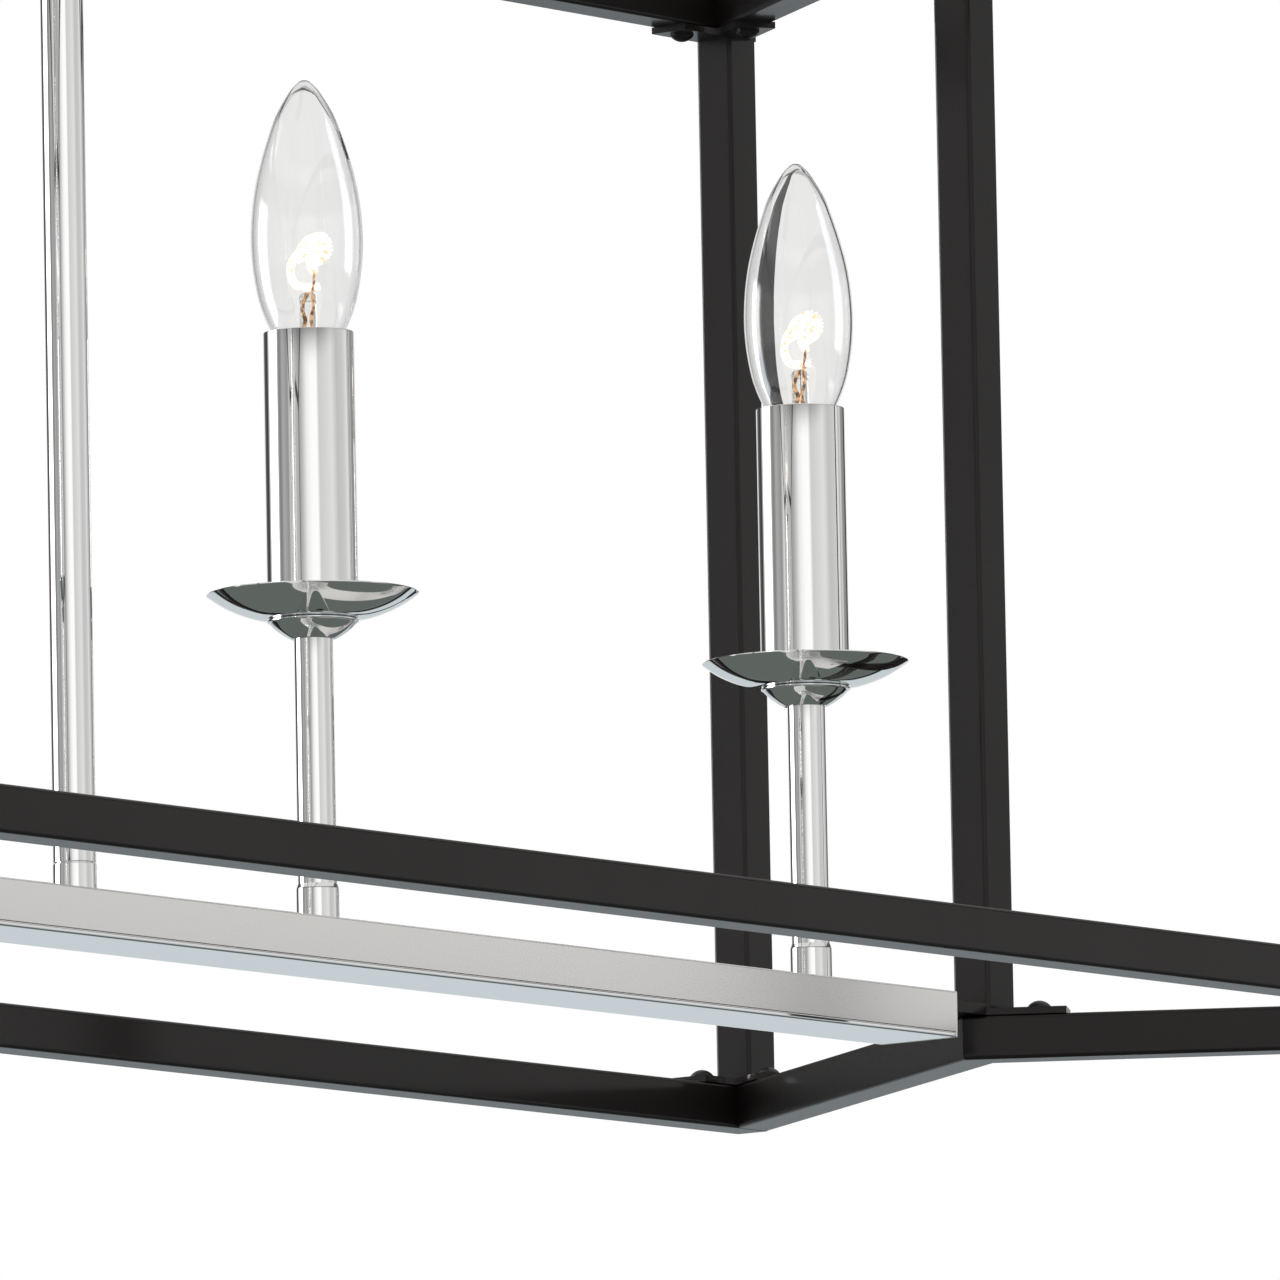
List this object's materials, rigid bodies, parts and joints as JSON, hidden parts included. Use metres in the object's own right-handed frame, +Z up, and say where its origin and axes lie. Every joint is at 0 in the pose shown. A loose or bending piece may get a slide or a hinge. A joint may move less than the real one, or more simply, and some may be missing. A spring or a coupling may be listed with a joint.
{
  "type": "linear island pendant",
  "caption": "Long open black cage of square tube with V-notched ends, hung on two chrome rods, holding a chrome bar of candle lights with clear pointed bulbs.",
  "frame": {"origin": "at the ceiling: middle of the top face of the mounting bar; the fixture hangs in -Z", "axes": "+X along the fixture, +Y across it, +Z up out of the ceiling face"},
  "size_m": [1.287, 0.356, 0.7076],
  "materials": {
    "satin_black": "satin black paint",
    "chrome": "polished chrome plate",
    "zinc_steel": "zinc-plated steel",
    "brass": "plain brass",
    "socket_plastic": "moulded, matt",
    "clear_glass": "clear, polished",
    "glass_base": "rolled metal screw base",
    "filament": "glowing wire",
    "solder": "solder"
  },
  "bodies": {
    "canopy": {"canopy": "chrome", "canopy_knobs": "chrome", "mounting_bar": "zinc_steel", "mounting_studs": "zinc_steel", "stud_nuts": "zinc_steel", "swivel_seats": "chrome"},
    "pendant": {"bottom_rail_front": "satin_black", "top_rail_front": "satin_black", "bottom_rail_back": "satin_black", "top_rail_back": "satin_black", "bottom_notch_right": "satin_black", "top_notch_right": "satin_black", "bottom_notch_left": "satin_black", "top_notch_left": "satin_black", "prow_posts": "satin_black", "corner_posts": "satin_black", "corner_brackets": "satin_black", "prow_brackets": "satin_black", "bracket_screws": "satin_black", "rivet_nuts": "zinc_steel", "socket_springs": "zinc_steel", "bar_screws": "zinc_steel", "wiring_bar": "chrome", "bar_cover": "chrome", "bar_end_caps": "chrome", "candle_collars": "chrome", "candle_stems": "chrome", "candle_cups": "chrome", "candle_dishes": "chrome", "candle_sleeves": "chrome", "rod_collars": "chrome", "lower_rods": "chrome", "upper_rods": "chrome", "swivel_balls": "chrome", "bar_tongues": "satin_black", "candle_nipples": "brass", "rod_nipples": "brass", "lock_nuts": "brass", "socket_shells": "brass", "socket_bodies": "socket_plastic"},
    "bulb_1_lift": {"bulb_contact_1": "solder"},
    "bulb_1": {"bulb_glass_1": "clear_glass", "bulb_base_1": "glass_base", "bulb_filament_1": "filament"},
    "bulb_2_lift": {"bulb_contact_2": "solder"},
    "bulb_2": {"bulb_glass_2": "clear_glass", "bulb_base_2": "glass_base", "bulb_filament_2": "filament"},
    "bulb_3_lift": {"bulb_contact_3": "solder"},
    "bulb_3": {"bulb_glass_3": "clear_glass", "bulb_base_3": "glass_base", "bulb_filament_3": "filament"},
    "bulb_4_lift": {"bulb_contact_4": "solder"},
    "bulb_4": {"bulb_glass_4": "clear_glass", "bulb_base_4": "glass_base", "bulb_filament_4": "filament"},
    "bulb_5_lift": {"bulb_contact_5": "solder"},
    "bulb_5": {"bulb_glass_5": "clear_glass", "bulb_base_5": "glass_base", "bulb_filament_5": "filament"}
  },
  "joints": [
    {"name": "swing", "type": "hinge", "parent": "canopy", "child": "pendant", "pos_m": [0, 0, -0.022], "axis": [1, 0, 0], "range_deg": [-20, 20]},
    {"name": "bulb_1_rise", "type": "slide", "parent": "pendant", "child": "bulb_1_lift", "axis": [0, 0, 1], "range_m": [0, 0.01016]},
    {"name": "bulb_1_turn", "type": "hinge", "parent": "bulb_1_lift", "child": "bulb_1", "pos_m": [-0.45, 0, -0.5], "axis": [0, 0, 1], "range_deg": [0, 1440]},
    {"name": "bulb_2_rise", "type": "slide", "parent": "pendant", "child": "bulb_2_lift", "axis": [0, 0, 1], "range_m": [0, 0.01016]},
    {"name": "bulb_2_turn", "type": "hinge", "parent": "bulb_2_lift", "child": "bulb_2", "pos_m": [-0.225, 0, -0.5], "axis": [0, 0, 1], "range_deg": [0, 1440]},
    {"name": "bulb_3_rise", "type": "slide", "parent": "pendant", "child": "bulb_3_lift", "axis": [0, 0, 1], "range_m": [0, 0.01016]},
    {"name": "bulb_3_turn", "type": "hinge", "parent": "bulb_3_lift", "child": "bulb_3", "pos_m": [0, 0, -0.5], "axis": [0, 0, 1], "range_deg": [0, 1440]},
    {"name": "bulb_4_rise", "type": "slide", "parent": "pendant", "child": "bulb_4_lift", "axis": [0, 0, 1], "range_m": [0, 0.01016]},
    {"name": "bulb_4_turn", "type": "hinge", "parent": "bulb_4_lift", "child": "bulb_4", "pos_m": [0.225, 0, -0.5], "axis": [0, 0, 1], "range_deg": [0, 1440]},
    {"name": "bulb_5_rise", "type": "slide", "parent": "pendant", "child": "bulb_5_lift", "axis": [0, 0, 1], "range_m": [0, 0.01016]},
    {"name": "bulb_5_turn", "type": "hinge", "parent": "bulb_5_lift", "child": "bulb_5", "pos_m": [0.45, 0, -0.5], "axis": [0, 0, 1], "range_deg": [0, 1440]}
  ],
  "couplings": [
    {"joint": "bulb_1_rise", "follows": "bulb_1_turn", "m_per_rad": 0.00040425},
    {"joint": "bulb_2_rise", "follows": "bulb_2_turn", "m_per_rad": 0.00040425},
    {"joint": "bulb_3_rise", "follows": "bulb_3_turn", "m_per_rad": 0.00040425},
    {"joint": "bulb_4_rise", "follows": "bulb_4_turn", "m_per_rad": 0.00040425},
    {"joint": "bulb_5_rise", "follows": "bulb_5_turn", "m_per_rad": 0.00040425}
  ]
}
